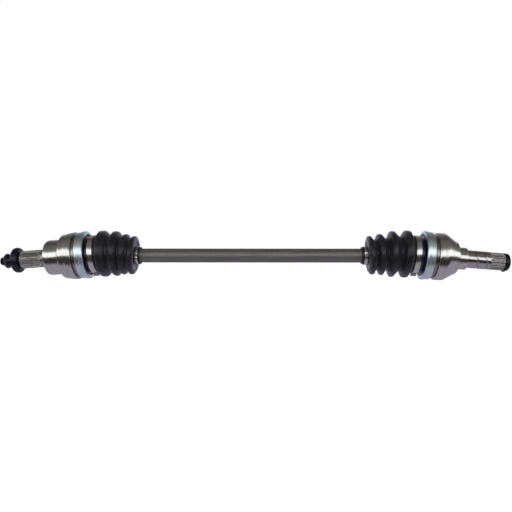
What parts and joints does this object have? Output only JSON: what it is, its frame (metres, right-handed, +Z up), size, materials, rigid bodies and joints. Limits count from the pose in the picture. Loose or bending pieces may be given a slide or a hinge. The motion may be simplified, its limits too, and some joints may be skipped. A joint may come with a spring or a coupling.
{
  "type": "cv axle",
  "caption": "Vehicle half-shaft: steel bar between a fixed and a plunging ball joint, each under a pleated rubber boot, with splined stub ends.",
  "frame": {"origin": "on the bar's axis, midway along the assembled axle (the centre of its bounding box)", "axes": "+X along the bar towards the gearbox (inner) end, +Y across, +Z up in the pose of the picture"},
  "size_m": [0.7608, 0.0724, 0.0749],
  "materials": {
    "bar_steel": "as-rolled bar, dull grey with fine lengthwise streaks",
    "turned_steel": "lathe-turned, fine rings round the axis",
    "ground_steel": "ground and polished",
    "zinc_plate": "pale blue-white zinc plate",
    "stainless_band": "bright stainless strip",
    "black_oxide": "black oxide with a blue cast",
    "boot_rubber": "moulded black rubber, satin"
  },
  "bodies": {
    "shaft": {"axle_bar": "bar_steel", "outer_inner_race": "ground_steel", "outer_race_circlip": "black_oxide", "outer_boot_clamp_small": "stainless_band", "inner_inner_race": "ground_steel", "inner_race_circlip": "black_oxide", "inner_boot_clamp_small": "stainless_band"},
    "outer_boot_sleeve": {"outer_boot": "boot_rubber"},
    "outer_cup": {"outer_joint_housing": "turned_steel", "outer_protector_ring": "zinc_plate", "outer_boot_clamp_large": "stainless_band", "hub_washer": "black_oxide", "hub_nut": "black_oxide"},
    "outer_upright_balls": {"outer_ball_1": "ground_steel", "outer_ball_4": "ground_steel"},
    "outer_cage_set": {"outer_cage": "turned_steel", "outer_ball_2": "ground_steel", "outer_ball_3": "ground_steel", "outer_ball_5": "ground_steel", "outer_ball_6": "ground_steel"},
    "inner_boot_sleeve": {"inner_boot": "boot_rubber"},
    "inner_cup": {"inner_joint_housing": "turned_steel", "inner_protector_ring": "zinc_plate", "inner_boot_clamp_large": "stainless_band", "inner_retaining_ring": "ground_steel", "inner_stub_snap_ring": "black_oxide"},
    "inner_cage_set": {"inner_cage": "turned_steel", "inner_ball_1": "ground_steel", "inner_ball_2": "ground_steel", "inner_ball_3": "ground_steel", "inner_ball_4": "ground_steel", "inner_ball_5": "ground_steel", "inner_ball_6": "ground_steel"}
  },
  "joints": [
    {"name": "outer_bend_vertical", "type": "hinge", "parent": "shaft", "child": "outer_boot_sleeve", "pos_m": [-0.263, 0, 0], "axis": [0, 1, 0], "range_deg": [-15.6, 24.4], "deforming": ["outer_boot"]},
    {"name": "outer_bend_horizontal", "type": "hinge", "parent": "outer_boot_sleeve", "child": "outer_cup", "pos_m": [-0.263, 0, 0], "axis": [-0.0767, 0, 0.9971], "range_deg": [-10, 10], "deforming": ["outer_boot"]},
    {"name": "outer_cage_vertical", "type": "hinge", "parent": "shaft", "child": "outer_upright_balls", "pos_m": [-0.263, 0, 0], "axis": [0, 1, 0], "range_deg": [-7.8, 12.2]},
    {"name": "outer_cage_horizontal", "type": "hinge", "parent": "outer_upright_balls", "child": "outer_cage_set", "pos_m": [-0.263, 0, 0], "axis": [-0.0384, 0, 0.9993], "range_deg": [-5, 5]},
    {"name": "inner_bend_vertical", "type": "hinge", "parent": "shaft", "child": "inner_boot_sleeve", "pos_m": [0.2575, 0, 0], "axis": [0, 1, 0], "range_deg": [-22.8, 13.2], "deforming": ["inner_boot"]},
    {"name": "inner_plunge", "type": "slide", "parent": "inner_boot_sleeve", "child": "inner_cup", "axis": [0.9965, 0, -0.0837], "range_m": [-0.008, 0.008], "deforming": ["inner_boot"]},
    {"name": "inner_cage_tilt", "type": "hinge", "parent": "shaft", "child": "inner_cage_set", "pos_m": [0.2575, 0, 0], "axis": [0, 1, 0], "range_deg": [-11.4, 6.6]}
  ],
  "couplings": [
    {"joint": "outer_cage_vertical", "follows": "outer_bend_vertical", "ratio": 0.5},
    {"joint": "outer_cage_horizontal", "follows": "outer_bend_horizontal", "ratio": 0.5},
    {"joint": "inner_cage_tilt", "follows": "inner_bend_vertical", "ratio": 0.5}
  ]
}
